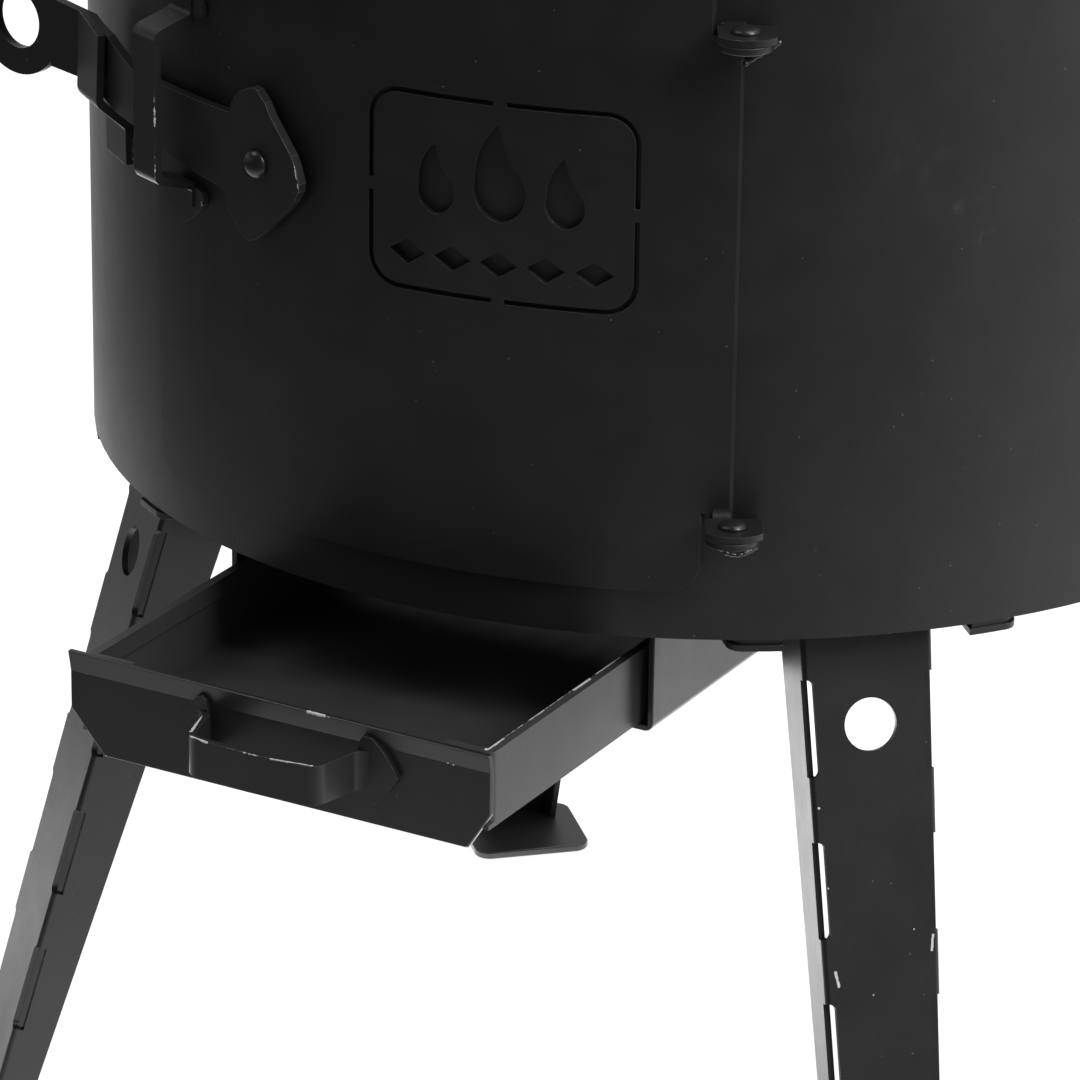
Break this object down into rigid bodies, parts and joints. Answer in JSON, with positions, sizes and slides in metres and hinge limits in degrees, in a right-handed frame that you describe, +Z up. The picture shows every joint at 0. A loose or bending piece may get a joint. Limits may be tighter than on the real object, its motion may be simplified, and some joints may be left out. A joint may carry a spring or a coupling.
{
  "type": "cauldron stove",
  "caption": "Round wood-fired stove on splayed folded-steel legs: a cauldron hangs in its top ring, with a latched fire door and a pull-out ash drawer.",
  "frame": {"origin": "centre of the cauldron seat, on the top face of the seat ring", "axes": "+Z up along the firebox axis, -Y towards the fire door and the drawer, +X to the right of the door seen from the front"},
  "size_m": [0.484, 0.4893, 0.586],
  "materials": {
    "powder_black": "semi-matte black heat-proof powder coat",
    "grate_iron": "rough cast iron",
    "zinc_steel": "bright zinc plate"
  },
  "bodies": {
    "stove_body": {"body_shell": "powder_black", "seat_ring": "powder_black", "bottom_plate": "powder_black", "hinge_lug_lower": "powder_black", "hinge_lug_upper": "powder_black", "hinge_rivet_lower": "powder_black", "hinge_rivet_upper": "powder_black", "latch_catch": "powder_black", "side_handle_left": "powder_black", "side_handle_right": "powder_black", "drawer_rail_left": "powder_black", "drawer_rail_right": "powder_black", "drawer_stop": "powder_black", "leg_front_left": "powder_black", "leg_front_right": "powder_black", "leg_rear_right": "powder_black", "leg_rear_left": "powder_black", "foot_front_left": "powder_black", "foot_front_right": "powder_black", "foot_rear_right": "powder_black", "foot_rear_left": "powder_black", "leg_socket_front_left": "powder_black", "leg_socket_front_right": "powder_black", "leg_socket_rear_right": "powder_black", "leg_socket_rear_left": "powder_black", "fire_grate": "grate_iron", "leg_studs": "zinc_steel", "wing_nuts": "zinc_steel"},
    "door": {"door_panel": "powder_black", "door_liner": "powder_black", "latch_rivet": "powder_black", "latch_washer": "powder_black", "latch_guide": "powder_black"},
    "latch": {"latch_lever": "powder_black"},
    "drawer": {"ash_tray": "powder_black", "drawer_front": "powder_black", "drawer_handle": "powder_black"}
  },
  "joints": [
    {"name": "door_hinge", "type": "hinge", "parent": "stove_body", "child": "door", "pos_m": [0.10582, -0.18255, -0.204], "axis": [0, 0, 1], "range_deg": [0, 110]},
    {"name": "latch_pivot", "type": "hinge", "parent": "door", "child": "latch", "pos_m": [-0.04507, -0.20162, -0.188], "axis": [0.2181, 0.9759, 0], "range_deg": [0, 18]},
    {"name": "drawer_slide", "type": "slide", "parent": "stove_body", "child": "drawer", "axis": [0, -1, 0], "range_m": [-0.0904, 0.1]}
  ]
}
